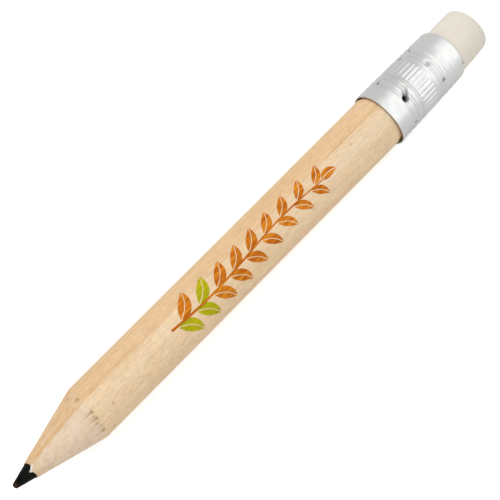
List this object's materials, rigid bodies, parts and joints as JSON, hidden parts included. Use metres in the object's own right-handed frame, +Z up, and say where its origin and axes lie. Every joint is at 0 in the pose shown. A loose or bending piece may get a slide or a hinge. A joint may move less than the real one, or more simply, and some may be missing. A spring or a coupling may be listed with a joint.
{
  "type": "graphite pencil",
  "caption": "Short round natural-wood pencil, sharpened to a blunt graphite point, with a crimped and knurled aluminium ferrule holding an off-white eraser.",
  "frame": {"origin": "on the surface the pencil lies on, under the middle of its length", "axes": "+X along the pencil from the point to the eraser, +Y across it, +Z up; the pencil's axis is level, and the seam between its two slats is the upright plane Y = 0"},
  "size_m": [0.0882, 0.0078, 0.0079],
  "materials": {
    "warm_wood": "bare sanded wood, warmer of the two slats",
    "pale_wood": "bare sanded wood, paler of the two slats",
    "wood_glue": "dried wood glue",
    "graphite": "cut graphite, dull with a slight sheen",
    "ferrule_aluminium": "satin, crimped and knurled",
    "eraser_rubber": "matt off-white",
    "print_ink": "thin translucent orange-brown print"
  },
  "bodies": {
    "root": {"left_slat": "warm_wood", "right_slat": "pale_wood", "slat_glue": "wood_glue", "graphite_core": "graphite", "ferrule": "ferrule_aluminium", "eraser_plug": "eraser_rubber"}
  },
  "joints": []
}
